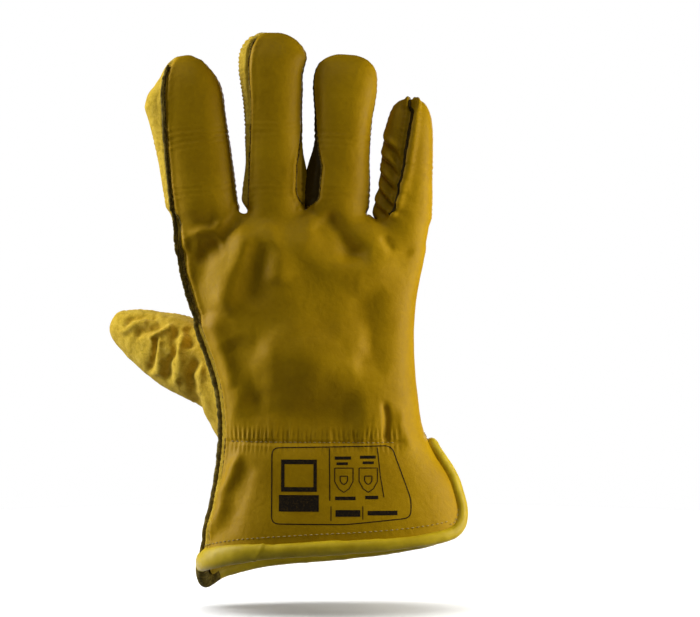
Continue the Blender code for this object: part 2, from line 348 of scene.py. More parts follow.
def hand_rings():
    rings = []
    for low in np.linspace(-30, 146, 30):
        rings.append([hand_point(a, low) for a in range(0, 360, 4)])
    for rise, shrink in ((0.25, 0.0), (0.5, 0.6), (0.75, 2.2), (0.9, 5.0), (1.0, 9.0)):
        ring = []
        for a in range(0, 360, 4):
            p = hand_point(a, 150)
            top = knuckle_line(p[0])
            q = hand_point(a, 146 + rise * (top - 146))
            q[1] *= 1 - shrink / 15
            q[0] = -12 + (q[0] + 12) * (1 - shrink / 160)
            ring.append(q)
        rings.append(ring)
    return rings


def thumb_root_rings():
    """The swell of leather at the root of the thumb."""
    centre, across, deep, tall = np.array((-41.0, 14.0, 75.0)), 21.0, 15.0, 31.0
    rings = []
    for lift in np.linspace(-0.98, 0.98, 13):
        width = math.sqrt(1 - lift**2)
        turns = [math.radians(a) for a in range(0, 360, 15)]
        rings.append([
            centre + (across * width * math.cos(t), deep * width * math.sin(t), tall * lift) for t in turns
        ])
    return rings


# ---------------------------------------------------------------- the blank skin


class Skin:
    """The blank as arrays: points, faces, and each point's normal."""

    def __init__(self, mesh):
        count = len(mesh.vertices)
        self.points = np.empty(count * 3)
        mesh.vertices.foreach_get("co", self.points)
        self.points = self.points.reshape(-1, 3) / MM
        self.plain = self.points
        self.faces = np.array([tuple(p.vertices) for p in mesh.polygons])
        edges = np.empty(len(mesh.edges) * 2, int)
        mesh.edges.foreach_get("vertices", edges)
        self.edges = edges.reshape(-1, 2)
        self.valence = np.bincount(self.edges.ravel(), minlength=count)

    def normals(self):
        a, b, c, d = (self.points[self.faces[:, k]] for k in range(4))
        face = np.cross(c - a, d - b)
        total = np.zeros_like(self.points)
        for k in range(4):
            np.add.at(total, self.faces[:, k], face)
        return total / np.linalg.norm(total, axis=1)[:, None]

    def relax(self, times, weight=1.0):
        """Moves points towards their neighbours' average, by a share that may differ from point to point."""
        weight = np.asarray(weight, float)
        weight = weight[:, None] if weight.ndim else weight
        for _ in range(times):
            total = np.zeros_like(self.points)
            np.add.at(total, self.edges[:, 0], self.points[self.edges[:, 1]])
            np.add.at(total, self.edges[:, 1], self.points[self.edges[:, 0]])
            average = total / self.valence[:, None]
            self.points += 0.5 * weight * (average - self.points)

    def raise_by(self, out_by):
        """Moves each point out along its normal, and keeps the places from before in plain."""
        self.plain = self.points.copy()
        self.points += self.normals() * out_by[:, None]


def blank():
    """One closed skin round the hand, the fingers and the thumb."""
    bm = bmesh.new()
    tube(bm, hand_rings())
    tube(bm, thumb_root_rings())
    for digit in FINGERS.values():
        tube(bm, digit_rings(digit))
    bmesh.ops.recalc_face_normals(bm, faces=bm.faces)
    mesh = bpy.data.meshes.new("blank")
    bm.to_mesh(mesh)
    bm.free()
    form = bpy.data.objects.new("blank", mesh)
    bpy.context.scene.collection.objects.link(form)
    remesh = form.modifiers.new("remesh", "REMESH")
    remesh.mode = "VOXEL"
    remesh.voxel_size = VOXEL * MM
    graph = bpy.context.evaluated_depsgraph_get()
    whole = bpy.data.meshes.new_from_object(form.evaluated_get(graph))
    skin = Skin(whole)
    bpy.data.objects.remove(form)
    bpy.data.meshes.remove(whole)
    return skin


CROTCHES = [(-43, 0, 164), (-8, 0, 165), (25, 0, 161)]


def near_crotches(points):
    """1 at the crotches between the fingers, fading to 0."""
    near = np.zeros(len(points))
    for place in CROTCHES:
        near = np.maximum(near, fade(np.linalg.norm((points - place) * (1, 0.6, 1), axis=1), 4, 11))
    return near


def near_web(points):
    """1 where the thumb's tube meets the hand, fading to 0."""
    along, _, out = FINGERS["thumb"].place(points)
    return hump(out - 1.0, 0.45) * fade(along, 14, 34) * smooth(along, -34, -8)


def near_knuckles(skin):
    """1 on the back of the hand where each finger starts, fading to 0."""
    knuckles = np.zeros(len(skin.points))
    for name, digit in FINGERS.items():
        if name != "thumb":
            along, _, out = digit.place(skin.points)
            knuckles = np.maximum(knuckles, fade(np.abs(along + 1), 5, 15) * fade(out, 1.3, 1.7))
    return smooth(-skin.normals()[:, 1], 0.2, 0.6) * (1 - near_crotches(skin.points)) * knuckles


def soften_joins(skin):
    """Rounds the crotches between the fingers, the web of the thumb and the knuckles."""
    skin.relax(max(2, round(5 * FINER)))
    skin.relax(round(12 * FINER), near_crotches(skin.points))
    skin.relax(round(70 * FINER), near_web(skin.points))
    skin.relax(round(90 * FINER), near_knuckles(skin))


# ---------------------------------------------------------------- folds, seams and gathers

# Folds on the back of the hand: path (x, z), half width and height, below 0 for a valley.
BACK_FOLDS = [
    ([(-24, 158), (-19, 130), (-9, 95), (2, 72)], 11, 1.7),
    ([(0, 167), (8, 156), (17, 141)], 4.4, -3.1),
    ([(-42, 167), (-51, 151), (-66, 142)], 4.8, -2.7),
    ([(-31, 164), (-26, 148), (-22, 128)], 6.0, 1.9),
    ([(-43, 168), (-56, 158), (-70, 153)], 2.2, 1.2),
    ([(-79, 162), (-66, 159), (-52, 163)], 4.5, -1.7),
    ([(-72, 148), (-64, 146), (-52, 152)], 5.0, -1.8),
    ([(-36, 160), (-40, 148), (-46, 134), (-52, 114)], 5.5, 2.6),
    ([(-60, 148), (-64, 130), (-60, 108)], 7.0, -2.2),
    ([(-27, 152), (-32, 136), (-36, 118)], 6.0, -1.4),
    ([(-7, 164), (2, 153), (12, 147), (24, 145)], 5.0, -1.6),
    ([(-13, 160), (-10, 147), (2, 137), (18, 134), (38, 141)], 7.0, 1.6),
    ([(29, 155), (33, 147), (44, 144)], 2.8, -1.1),
    ([(20, 132), (18, 110), (15, 84)], 9, -1.5),
    ([(32, 134), (36, 110), (36, 80)], 8, 1.0),
    ([(-46, 104), (-38, 84), (-34, 66)], 7.5, -1.5),
    ([(-46, 70), (-12, 64), (22, 66)], 11, -3.9),
    ([(-36, 98), (-8, 94), (24, 98)], 13, 3.4),
    ([(-56, 116), (-51, 98), (-46, 78)], 4.0, 1.5),
    ([(-42, 51), (-48, 30), (-59, 1)], 2.4, 1.9),
    ([(-37, 46), (-42, 28), (-50, 4)], 4.5, -1.4),
    ([(30, 72), (30, 62), (30, 50)], 1.6, -1.8),
    ([(36, 70), (38, 60), (44, 46)], 2.8, 0.9),
]
# Folds on the side of the thumb that faces the same way as the back of the hand.
THUMB_FOLDS = [
    ([(-105, 109), (-100.5, 112.5), (-94, 114.5), (-86, 114.5)], 1.4, -1.9),
    ([(-107, 105), (-99, 109.5), (-91, 111.5)], 1.8, 1.4),
    ([(-99, 104), (-90, 107.5), (-84, 111)], 1.8, -2.2),
    ([(-92, 102), (-84.5, 106.5), (-78, 109.5)], 2.0, 1.9),
    ([(-86.5, 105), (-88.5, 94), (-91, 84)], 1.8, -2.0),
    ([(-84, 104), (-85.0, 94), (-86, 82)], 2.2, 1.6),
    ([(-76, 109), (-78, 94), (-82.5, 79)], 2.0, -2.2),
    ([(-73, 106), (-74.0, 92), (-76.5, 77)], 2.8, 1.9),
    ([(-70.5, 109), (-69.0, 96)], 2.6, -2.1),
    ([(-65, 94), (-68, 84), (-67.5, 75), (-63.5, 67)], 2.4, -2.4),
    ([(-62, 92), (-63, 80), (-60, 70), (-57, 58)], 2.4, 1.8),
]
# Creases across the palm.
PALM_FOLDS = [
    ([(-70, 132), (-45, 128), (-18, 138), (10, 146), (40, 143)], 2.6, -1.5),
    ([(-66, 124), (-42, 120), (-20, 128), (8, 137)], 3.4, 0.9),
    ([(-62, 138), (-36, 126), (-14, 104), (-8, 74), (-14, 56)], 3.0, -1.6),
    ([(-24, 122), (-4, 98), (0, 72)], 4.5, 1.1),
    ([(46, 128), (28, 118), (8, 116)], 2.6, -1.1),
    ([(48, 92), (26, 84), (6, 88)], 3.0, -0.9),
    ([(48, 66), (20, 60), (-10, 62), (-40, 58)], 3.0, -1.2),
    ([(-60, 160), (-44, 156), (-26, 160)], 2.4, -0.9),
    ([(-18, 160), (-6, 157), (8, 160)], 2.4, -0.9),
    ([(14, 158), (26, 152), (40, 154)], 2.4, -0.9),
]
# Creases across the palm side, place and depth: in millimetres on the thumb, and as a share on a finger.
THUMB_CREASES = [(22, 1.0), (31, 1.3), (40, 1.2), (53, 0.9)]
FINGER_CREASES = [(0.12, 0.5), (0.44, 1.0), (0.5, 0.7), (0.74, 0.7)]
# Swells of a finger's sides: height, angle, half width, and the shares of its length it fades between.
SWELLS = {
    "middle": [(3.6, 350, 34, 0.05, 0.42), (3.0, 182, 34, 0.06, 0.3), (1.1, 14, 9, 0.2, 0.42)],
    "ring": [(5.4, 178, 32, 0.1, 0.5), (1.6, 0, 34, 0.1, 0.4)],
    "little": [(3.6, 180, 30, 0.06, 0.36), (1.0, 0, 34, 0.05, 0.4)],
}
INDEX_SWELL = ([0, 0.32, 0.51, 0.70, 0.76, 0.82, 0.88], [2.3, 2.6, 3.8, 5.8, 4.6, 1.8, 0])
LITTLE_STRIP_FOLDS = (4, 12, 20, 28.5, 37)
# Where the seam round the thumb is, and where the thumb's own panels start, along it.
THUMB_JOIN = 16.0
THUMB_FROM = 27.0
# The stitched line over the elastic: its height, and its ends in x.
ELASTIC_LINE = 52.0
ELASTIC_REACH = (-47, 36)


def digit_places(points):
    """For each digit: distance along, angle, out, and whether the point is that digit's."""
    places = {name: digit.place(points) for name, digit in FINGERS.items()}
    outs = np.array([
        np.where(places[n][0] > 0, np.minimum(places[n][2], digit.spread(points)), 9.0)
        for n, digit in FINGERS.items()
    ])
    nearest = outs.argmin(axis=0)
    return {
        name: (*places[name], (nearest == k) & (outs[k] < 1.5))
        for k, name in enumerate(FINGERS)
    }


def angle_apart(a, b):
    return (a - b + 180) % 360 - 180


def seam_relief(distance, run, depth):
    """A groove between two rounded edges, with small puckers where the thread pulls."""
    pull = 1 + 0.25 * np.sin(run * 2 * math.pi / 3.1)
    return 0.55 * depth * pull * hump(np.abs(distance) - 2.3, 1.2) - depth * hump(distance, 0.95)


def fold_relief(p, folds, wander, size, seed, ends):
    """The folds along these paths, which wander a little and fade out over their ends."""
    bent = p[:, (0, 2)] + wander * np.column_stack((noise(p, size, seed), noise(p, size, seed + 1)))
    out_by = np.zeros(len(p))
    for path, width, height in folds:
        far, share = to_path(bent, path)
        out_by += height * hump(far, width) * smooth(share, 0, ends) * fade(share, 1 - ends, 1)
    return out_by


def relief(skin):
    """How far each point moves out along its normal."""
    p, towards = skin.points, skin.normals()[:, 1]
    facing = smooth(-towards, -0.1, 0.35)
    places = digit_places(p)
    on_digit = np.zeros(len(p))
    for along, _, _, own in places.values():
        on_digit = np.maximum(on_digit, own * smooth(along, -2, 6))
    on_hand = 1 - on_digit
    out_by = 0.55 * layered(p, 34, 3) + (0.28 - 0.14 * facing) * layered(p, 11, 9)
    out_by += facing * fold_relief(p, BACK_FOLDS, 1.6, 9, 21, 0.2)
    out_by += on_hand * smooth(towards, -0.1, 0.35) * fold_relief(p, PALM_FOLDS, 1.6, 9, 21, 0.2)
    out_by += on_hand * (gathers(p) * facing + hand_seams(p))
    out_by += thumb_relief(p, facing, *places["thumb"][:3])
    for name, (along, angle, _, own) in places.items():
        out_by += own * smooth(along, -1, 5) * digit_relief(FINGERS[name], p, along, angle)
    return out_by


def gathers(p):
    """The leather above and below the wrist elastic, drawn up into small upright folds."""
    x, z = p[:, 0], p[:, 2]
    first, last = ELASTIC_REACH
    reach = smooth(x, first - 4, first + 3) * fade(x, last - 2, last + 5)
    wander = 1.3 * noise(np.column_stack((x, x * 0, z * 0.3)), 7, 31)
    fine = np.sin((x + wander) * 2 * math.pi / 2.3)
    out_by = reach * fine * (0.34 * hump(z - 55.5, 3.0) + 0.2 * hump(z - 49.0, 2.2))
    out_by -= reach * (0.8 * hump(z - ELASTIC_LINE, 0.9) + 0.9 * hump(z - ELASTIC_LINE, 6.5))
    pick = np.random.RandomState(5)
    for k in range(22):
        at = first + 84 * (k + pick.uniform(0.1, 0.9)) / 22
        width, height = pick.uniform(0.9, 2.0), pick.uniform(0.1, 0.34)
        up, lean = pick.uniform(6, 22), pick.uniform(-0.15, 0.15)
        above = fade(z, ELASTIC_LINE + 2, ELASTIC_LINE + up)
        below = fade(-z, 1 - ELASTIC_LINE, 0.45 * up - ELASTIC_LINE)
        away = x - at - lean * (z - ELASTIC_LINE)
        out_by += height * hump(away, width) * np.where(z > ELASTIC_LINE, above, below)
    return out_by


def hand_seams(p):
    """The seams down both sides of the hand."""
    angle = hand_angle(p)
    table = np.array(HAND_STATIONS, float)
    radius = np.interp(p[:, 2], table[:, 0], (table[:, 4] - table[:, 3]) / 2) * 1.15
    apart = [np.radians(angle_apart(angle, seam)) * radius for seam in HAND_SEAMS]
    return sum(seam_relief(distance, p[:, 2], 0.8) for distance in apart)


def thumb_relief(p, facing, along, angle, out):
    """The seam where the thumb is set in, and the folds on the thumb's side that faces back."""
    from_join = along - THUMB_JOIN
    join = hump(from_join, 1.1) - 0.5 * hump(np.abs(from_join) - 2.6, 1.3)
    out_by = -0.9 * join * fade(np.abs(angle_apart(angle, 270)), 78, 90) * (out < 1.6)
    near = fade(out, 1.15, 1.6) * smooth(along, -2, 8)
    out_by += near * (0.45 * layered(p, 6.5, 77) - 0.5 * np.abs(noise(p, 9, 78)) + 0.2)
    return out_by + facing * near * fold_relief(p, THUMB_FOLDS, 1.2, 6, 23, 0.15)


def digit_relief(digit, p, along, angle):
    """A digit's seams, creases and swells."""
    share = along / digit.length
    wave = 1.5 * noise(p, 10, 41)
    if digit.name == "thumb":
        out_by = thumb_creases(along, angle, wave)
    else:
        out_by = finger_creases(digit, along, angle, share, wave)
    for height, centre, width, start, end in SWELLS.get(digit.name, []):
        out_by += height * hump(angle_apart(angle, centre), width) * fade(share, start, end)
    if digit.name == "index":
        out_by += np.interp(share, *INDEX_SWELL) * hump(angle_apart(angle, 182), 30)
    if digit.name == "middle":
        out_by += middle_relief(along, angle, share, wave)
    if digit.name == "little":
        out_by += little_relief(digit, along, angle, share, wave)
    table = np.array(digit.profile)
    radius = (digit.half_width + digit.half_depth) / 2 * np.interp(share, table[:, 0], table[:, 1])
    for edge in digit.seams:
        apart = np.radians(angle_apart(angle, digit.seam_angle(edge, share))) * radius
        if (digit.name, edge) in SHADOWED_SEAMS:
            out_by += seam_relief(apart, along, 0.9 + 1.6 * smooth(share, 0.86, 0.98))
        else:
            out_by += fade(share, 0.93, 1.0) * seam_relief(apart, along, 0.75)
    return out_by


def thumb_creases(along, angle, wave):
    out_by = np.zeros(len(along))
    for at, depth in THUMB_CREASES:
        away = along - at - 2.5 * wave
        out_by += depth * (0.5 * hump(away - 4.6, 2.6) - hump(away, 1.9))
    return out_by * smooth(np.abs(angle_apart(angle, 90)), 70, 120)


def finger_creases(digit, along, angle, share, wave):
    """Creases across the palm side of a finger, and fine wrinkles on its back."""
    palm = smooth(np.abs(angle_apart(angle, 90)), 95, 130)
    wrinkles = hump(share - 0.46, 0.08) + 0.8 * hump(share - 0.12, 0.06)
    out_by = 0.16 * (1 - palm) * wrinkles * np.sin(along * 2 * math.pi / 2.9 + 2.5 * wave)
    for at, depth in FINGER_CREASES:
        out_by -= (0.1 + 0.9 * palm) * depth * hump(along - at * digit.length - 1.5 * wave, 1.5)
    return out_by


def middle_relief(along, angle, share, wave):
    """The puckers in the middle finger's inner strip, and the cap over its tip."""
    strip = smooth(angle, 140, 150) * fade(angle, 196, 208) * smooth(share, 0.25, 0.5)
    cap = hump(angle_apart(angle, 0), 50) * (1.3 * hump(share - 0.86, 0.05) - 0.9 * hump(share - 0.75, 0.06))
    return strip * 0.3 * np.sin(along * 2 * math.pi / 2.1 + wave) + cap


def little_relief(digit, along, angle, share, wave):
    """The little finger's overhanging seam, and the folds across the strip under it."""
    beyond = angle_apart(angle, digit.seam_angle("back_inner", share))
    under = -2.0 * smooth(beyond, -1, 7) * fade(beyond, 16, 60)
    over = smooth(beyond, -16, -2) * fade(beyond, -2, 2)
    out_by = (under + over) * fade(share, 0.9, 1)
    from_middle = angle_apart(angle, 142)
    for at in LITTLE_STRIP_FOLDS:
        away = along - at - 0.14 * from_middle - 1.3 * wave
        out_by += hump(from_middle, 34) * (1.6 * hump(away - 3.8, 2.0) - 2.1 * hump(away, 1.4))
    return out_by


# ---------------------------------------------------------------- materials


def shader_tree(name, colour, roughness, **sockets):
    """A material with one shader, whose plain sockets are set here."""
    made = bpy.data.materials.new(name)
    made.use_nodes = True
    tree = made.node_tree
    shader = tree.nodes["Principled BSDF"]
    shader.inputs["Base Color"].default_value = (*colour, 1)
    shader.inputs["Roughness"].default_value = roughness
    for socket, value in sockets.items():
        shader.inputs[socket.replace("_", " ")].default_value = value
    return made, tree, shader


def texture(tree, kind, scale, **values):
    """A texture node on object coordinates, with features about this many millimetres across."""
    node = tree.nodes.new(f"ShaderNodeTex{kind}")
    coordinates = tree.nodes.get("Coordinates") or tree.nodes.new("ShaderNodeTexCoord")
    coordinates.name = "Coordinates"
    node.inputs["Scale"].default_value = 1000 / scale
    for socket, value in values.items():
        node.inputs[socket].default_value = value
    tree.links.new(coordinates.outputs["Object"], node.inputs["Vector"])
    return node


def ramp(tree, source, stops):
    node = tree.nodes.new("ShaderNodeValToRGB")
    while len(node.color_ramp.elements) < len(stops):
        node.color_ramp.elements.new(0.5)
    for element, (place, colour) in zip(node.color_ramp.elements, stops):
        element.position = place
        element.color = (*colour, 1)
    tree.links.new(source, node.inputs["Fac"])
    return node


def multiply(tree, shader, factor, first, second):
    """Colours the shader by two colour ramps multiplied by each other."""
    node = tree.nodes.new("ShaderNodeMix")
    node.data_type = "RGBA"
    node.blend_type = "MULTIPLY"
    node.inputs[0].default_value = factor
    tree.links.new(first.outputs["Color"], node.inputs[6])
    tree.links.new(second.outputs["Color"], node.inputs[7])
    tree.links.new(node.outputs[2], shader.inputs["Base Color"])


def bump(tree, shader, height, distance, strength):
    """Adds a bump on top of any that is there."""
    node = tree.nodes.new("ShaderNodeBump")
    node.inputs["Distance"].default_value = distance * MM
    node.inputs["Strength"].default_value = strength
    tree.links.new(height, node.inputs["Height"])
    before = shader.inputs["Normal"].links
    if before:
        tree.links.new(before[0].from_socket, node.inputs["Normal"])
    tree.links.new(node.outputs["Normal"], shader.inputs["Normal"])


def grain_leather(name="grain_leather", depth=1.0):
    """Smooth grain leather: fine pebbles, pores, faint blotches and a speckle that is paler where the fine
    bump is raised.
    """
    made, tree, shader = shader_tree(name, (0.45, 0.28, 0.003), 0.46, Specular_IOR_Level=0.1)
    crease = texture(tree, "Noise", 7, Detail=6, Roughness=0.6, Distortion=0.5)
    blotch = texture(tree, "Noise", 26, Detail=4, Roughness=0.6)
    fine = texture(tree, "Noise", 2.2, Detail=5, Roughness=0.65)
    pebble = texture(tree, "Voronoi", 0.95, Randomness=1.0)
    pebble.feature = "DISTANCE_TO_EDGE"
    # depth below 1 darkens the whole colour: painted shade for the strips between the fingers.
    base = ramp(tree, blotch.outputs["Fac"], [
        (0.3, (0.42 * depth, 0.240 * depth, 0.0)),
        (0.52, (0.48 * depth, 0.280 * depth, 0.001)),
        (0.75, (0.55 * depth, 0.328 * depth, 0.002)),
    ])
    speckle = ramp(tree, fine.outputs["Fac"], [(0.35, (0.82, 0.8, 0.75)), (0.65, (1, 1, 1))])
    multiply(tree, shader, 0.55, base, speckle)
    rough = ramp(tree, fine.outputs["Fac"], [(0.3, (0.40, 0.40, 0.40)), (0.7, (0.56, 0.56, 0.56))])
    tree.links.new(rough.outputs["Color"], shader.inputs["Roughness"])
    cells = ramp(tree, pebble.outputs["Distance"], [(0.0, (0, 0, 0)), (0.12, (1, 1, 1))])
    bump(tree, shader, cells.outputs["Color"], 0.05, 0.35)
    bump(tree, shader, fine.outputs["Fac"], 0.25, 0.35)
    bump(tree, shader, crease.outputs["Fac"], 1.4, 0.28)
    return made


def split_leather():
    """Napped split leather: short fibres in tufts, darker in the hollows between them as painted shade, and
    pale overall partly as painted light.
    """
    made, tree, shader = shader_tree(
        "split_leather", (0.55, 0.4, 0.06), 0.95,
        Specular_IOR_Level=0.08, Sheen_Weight=0.35, Sheen_Roughness=0.5,
    )
    shader.inputs["Sheen Tint"].default_value = (1.0, 0.82, 0.3, 1)
    tuft = texture(tree, "Noise", 3.2, Detail=6, Roughness=0.72, Distortion=0.6)
    fibre = texture(tree, "Noise", 0.7, Detail=4, Roughness=0.8, Distortion=1.2)
    patch = texture(tree, "Noise", 18, Detail=3, Roughness=0.5)
    base = ramp(tree, tuft.outputs["Fac"], [
        (0.3, (0.46, 0.29, 0.014)), (0.5, (0.70, 0.475, 0.035)), (0.7, (0.84, 0.61, 0.08)),
    ])
    worn = ramp(tree, patch.outputs["Fac"], [(0.35, (0.78, 0.74, 0.66)), (0.65, (1, 1, 1))])
    multiply(tree, shader, 0.6, base, worn)
    bump(tree, shader, tuft.outputs["Fac"], 1.1, 0.6)
    bump(tree, shader, fibre.outputs["Fac"], 0.4, 0.6)
    return made


def binding_leather():
    """The rolled binding: brighter, softer leather with fine cross wrinkles."""
    made, tree, shader = shader_tree("binding_leather", (0.58, 0.41, 0.006), 0.45, Specular_IOR_Level=0.25)
    patch = texture(tree, "Noise", 9, Detail=4, Roughness=0.6)
    fine = texture(tree, "Noise", 1.4, Detail=4, Roughness=0.7)
    base = ramp(tree, patch.outputs["Fac"], [(0.3, (0.50, 0.35, 0.003)), (0.7, (0.68, 0.50, 0.012))])
    tree.links.new(base.outputs["Color"], shader.inputs["Base Color"])
    bump(tree, shader, fine.outputs["Fac"], 0.3, 0.4)
    return made


def patchy(name, colour, roughness, size, settings, stops, raised, kind="Noise", **sockets):
    """A material coloured and raised by one texture: raised is its bump's height and strength. Its colour
    runs from dark in the texture's hollows to pale on its tops, as painted shade.
    """
    made, tree, shader = shader_tree(name, colour, roughness, **sockets)
    patch = texture(tree, kind, size, **settings)
    base = ramp(tree, patch.outputs["Fac"], stops)
    tree.links.new(base.outputs["Color"], shader.inputs["Base Color"])
    bump(tree, shader, patch.outputs["Fac"], *raised)
    return made


MATERIALS = {
    "grain_leather": grain_leather(),
    # Grain leather a tenth darker: painted shade for the strips between the fingers.
    "fourchette_leather": grain_leather("fourchette_leather", 0.9),
    # Grain leather darkened almost to black: painted shade for the ring finger's inner strip, which sits in
    # deep shade between the fingers.
    "dark_leather": grain_leather("dark_leather", 0.08),
    "split_leather": split_leather(),
    "binding_leather": binding_leather(),
    # The narrow strip of leather edges that stands out of the side seam, dark partly as cut edges and partly
    # as painted shade; also the painted shade on the binding's corner.
    "welt_leather": patchy(
        "welt_leather", (0.12, 0.09, 0.01), 0.8, 2.4, {"Detail": 5, "Roughness": 0.7},
        [(0.3, (0.05, 0.034, 0.004)), (0.5, (0.14, 0.1, 0.012)), (0.7, (0.34, 0.25, 0.04))],
        (0.6, 0.7), Specular_IOR_Level=0.15,
    ),
    # The raw cut edge of the leather at a seam, with painted shade in its folds.
    "seam_edge": patchy(
        "seam_edge", (0.2, 0.13, 0.02), 0.9, 1.6, {"Detail": 5, "Roughness": 0.7},
        [(0.34, (0.035, 0.02, 0.003)), (0.5, (0.2, 0.13, 0.02)), (0.66, (0.52, 0.38, 0.08))],
        (0.5, 0.8), Specular_IOR_Level=0.1,
    ),
    # Painted shadow: an almost black strip laid in the fold of a seam under an overhanging edge, where shade
    # falls.
    "dark_edge": patchy(
        "dark_edge", (0.02, 0.012, 0.002), 0.85, 2.0, {"Detail": 4, "Roughness": 0.6},
        [(0.35, (0.012, 0.007, 0.001)), (0.7, (0.06, 0.037, 0.004))],
        (0.4, 0.6), Specular_IOR_Level=0.1,
    ),
    "thread": patchy(
        "thread", (0.42, 0.3, 0.05), 0.6, 0.9, {"Distortion": 0.5},
        [(0.2, (0.25, 0.17, 0.02)), (0.8, (0.55, 0.41, 0.09))],
        (0.1, 0.5), kind="Wave", Sheen_Weight=0.3,
    ),
    "fleece": patchy(
        "fleece", (0.62, 0.58, 0.46), 1.0, 2.6, {"Detail": 6, "Roughness": 0.75, "Distortion": 1.5},
        [(0.3, (0.36, 0.32, 0.22)), (0.65, (0.72, 0.68, 0.56))],
        (1.5, 0.7), Specular_IOR_Level=0.05, Sheen_Weight=0.7, Sheen_Roughness=0.6,
    ),
    # Dark printing ink that has sunk into the grain.
    "ink": patchy(
        "ink", (0.01, 0.006, 0.002), 0.55, 1.1, {"Detail": 5, "Roughness": 0.75},
        [(0.5, (0.008, 0.005, 0.002)), (0.75, (0.07, 0.04, 0.005))],
        (0.2, 0.3), Specular_IOR_Level=0.12,
    ),
}


# ---------------------------------------------------------------- pieces


def make_piece(name, points, faces, material, normals=None):
    """A smooth-shaded piece from points in millimetres."""
    mesh = bpy.data.meshes.new(name)
    mesh.from_pydata([tuple(p) for p in np.asarray(points) * MM], [], [tuple(f) for f in faces])
    mesh.validate()
    mesh.shade_smooth()
    mesh.materials.append(MATERIALS[material])
    if normals is not None:
        mesh.normals_split_custom_set_from_vertices([tuple(n) for n in normals])
    made = bpy.data.objects.new(name, mesh)
    bpy.context.scene.collection.objects.link(made)
    return made


def sub_piece(name, skin, normals, faces, material):
    """The part of the skin with these faces."""
    used, index = np.unique(faces, return_inverse=True)
    return make_piece(name, skin.points[used], index.reshape(faces.shape), material, normals[used])


def split_at(digit):
    """Where a digit's base piece ends and its tip piece starts, and where its two bends start and end."""
    if digit.name == "thumb":
        return {"from": THUMB_FROM, "cut": 41.0, "base": (THUMB_FROM, 40.5), "tip": (41.5, 58)}
    first, cut = 4.2 if digit.name == "little" else 2.0, 0.3 * digit.length
    return {"from": first, "cut": cut, "base": (first, cut - 0.5), "tip": (cut + 1, 0.62 * digit.length)}


def bend(piece):
    """Bakes a piece's transform into its mesh."""
    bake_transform(piece)


def panel_of(digit, angle, share):
    """Which panel of a digit each place is on, by its number in PANELS."""
    seams = {edge: digit.seam_angle(edge, share) for edge in digit.seams}
    inner, palm_outer = seams["back_inner"], seams["palm_outer"]
    palm_inner = seams.get("palm_inner", inner)
    panel = np.full(len(angle), 0)
    panel[(angle > inner) & (angle <= palm_inner)] = 2
    panel[(angle > palm_inner) & (angle <= palm_outer)] = 1
    if "back_outer" in seams:
        panel[(angle > palm_outer) | (angle <= seams["back_outer"])] = 3
    return panel


PANELS = [
    ("back", "grain_leather"),
    ("palm", "split_leather"),
    ("inner_fourchette", "grain_leather"),
    ("outer_fourchette", "fourchette_leather"),
]
# The strips between the fingers that aren't plain grain leather: suede on the middle finger, and grain
# leather darkened as painted shade on the ring and little fingers.
ODD_PANELS = {
    ("middle", "inner_fourchette"): "split_leather",
    ("ring", "inner_fourchette"): "dark_leather",
    ("little", "inner_fourchette"): "fourchette_leather",
}


def cut_digit(skin, normals, digit, mine, panel, along):
    """Cuts a digit's own faces into its panels, base and tip."""
    cut = split_at(digit)["cut"]
    for part, inside in (("base", along <= cut), ("tip", along > cut)):
        for number, (kind, material) in enumerate(PANELS):
            faces = skin.faces[mine & inside & (panel == number)]
            if not len(faces):
                continue
            if digit.name == "thumb":
                material = "split_leather"
            material = ODD_PANELS.get((digit.name, kind), material)
            piece = sub_piece(f"{digit.name}_{kind}_{part}_skin", skin, normals, faces, material)
            bend(piece)
            nodes = [f"{digit.name}_{kind}_{part}"]
            if kind == "back":
                nodes.append(f"{digit.name}_lining_{part}")
            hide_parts(*[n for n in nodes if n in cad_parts])


def cut_panels(skin):
    """Cuts the skin into panels, hangs the hand's panels on the hand's body, and lets each replace its CAD
    nodes.
    """
    normals = skin.normals()
    centres = skin.plain[skin.faces].mean(axis=1)
    on_hand = np.ones(len(centres), bool)
    for name, (along, angle, _, own) in digit_places(centres).items():
        digit = FINGERS[name]
        mine = own & (along > split_at(digit)["from"])
        on_hand &= ~mine
        cut_digit(skin, normals, digit, mine, panel_of(digit, angle, along / digit.length), along)
    angle = hand_angle(centres)
    turns = list(range(-180, 181, 3))
    on_hand &= centres[:, 2] > np.interp(angle, turns, [hem_height(a) for a in turns])
    back = (angle > HAND_SEAMS[0]) & (angle < HAND_SEAMS[1])
    for kind, material, mask in (("back", "grain_leather", back), ("palm", "split_leather", ~back)):
        piece = sub_piece(f"hand_{kind}_skin", skin, normals, skin.faces[on_hand & mask], material)
        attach(piece, "hand")
        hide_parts(f"hand_{kind}")


# How far the binding stands off the hand at the top of the vent.
VENT_FLARE = 2.4


def hem_path(count, depth=0.8):
    """Points spaced evenly round the mouth."""
    fine = []
    for a in np.linspace(-180, 180, 1441):
        flare = VENT_FLARE * math.exp(-(((a - 3) / 11) ** 2))
        fine.append(hand_point(a, hem_height(a), depth - flare))
    steps = np.r_[0, np.cumsum([np.linalg.norm(b - a) for a, b in zip(fine, fine[1:])])]
    at = np.linspace(0, steps[-1], count + 1)[:-1]
    return np.column_stack([np.interp(at, steps, np.array(fine)[:, k]) for k in range(3)])


# The binding's half height, round the mouth.
BINDING_HEIGHT = (
    [-180, -140, -60, -20, 0, 20, 40, 60, 100, 125, 150, 170, 180],
    [4.8, 3.8, 3.2, 3.0, 3.3, 3.6, 3.2, 2.9, 3.7, 4.6, 5.6, 5.4, 4.8],
)
# Where the binding's ends lap, and the angles between which the binding is coloured dark as painted shade.
LAP_X = -31.5
PAINTED_SHADE_CORNER = (-178, -150)


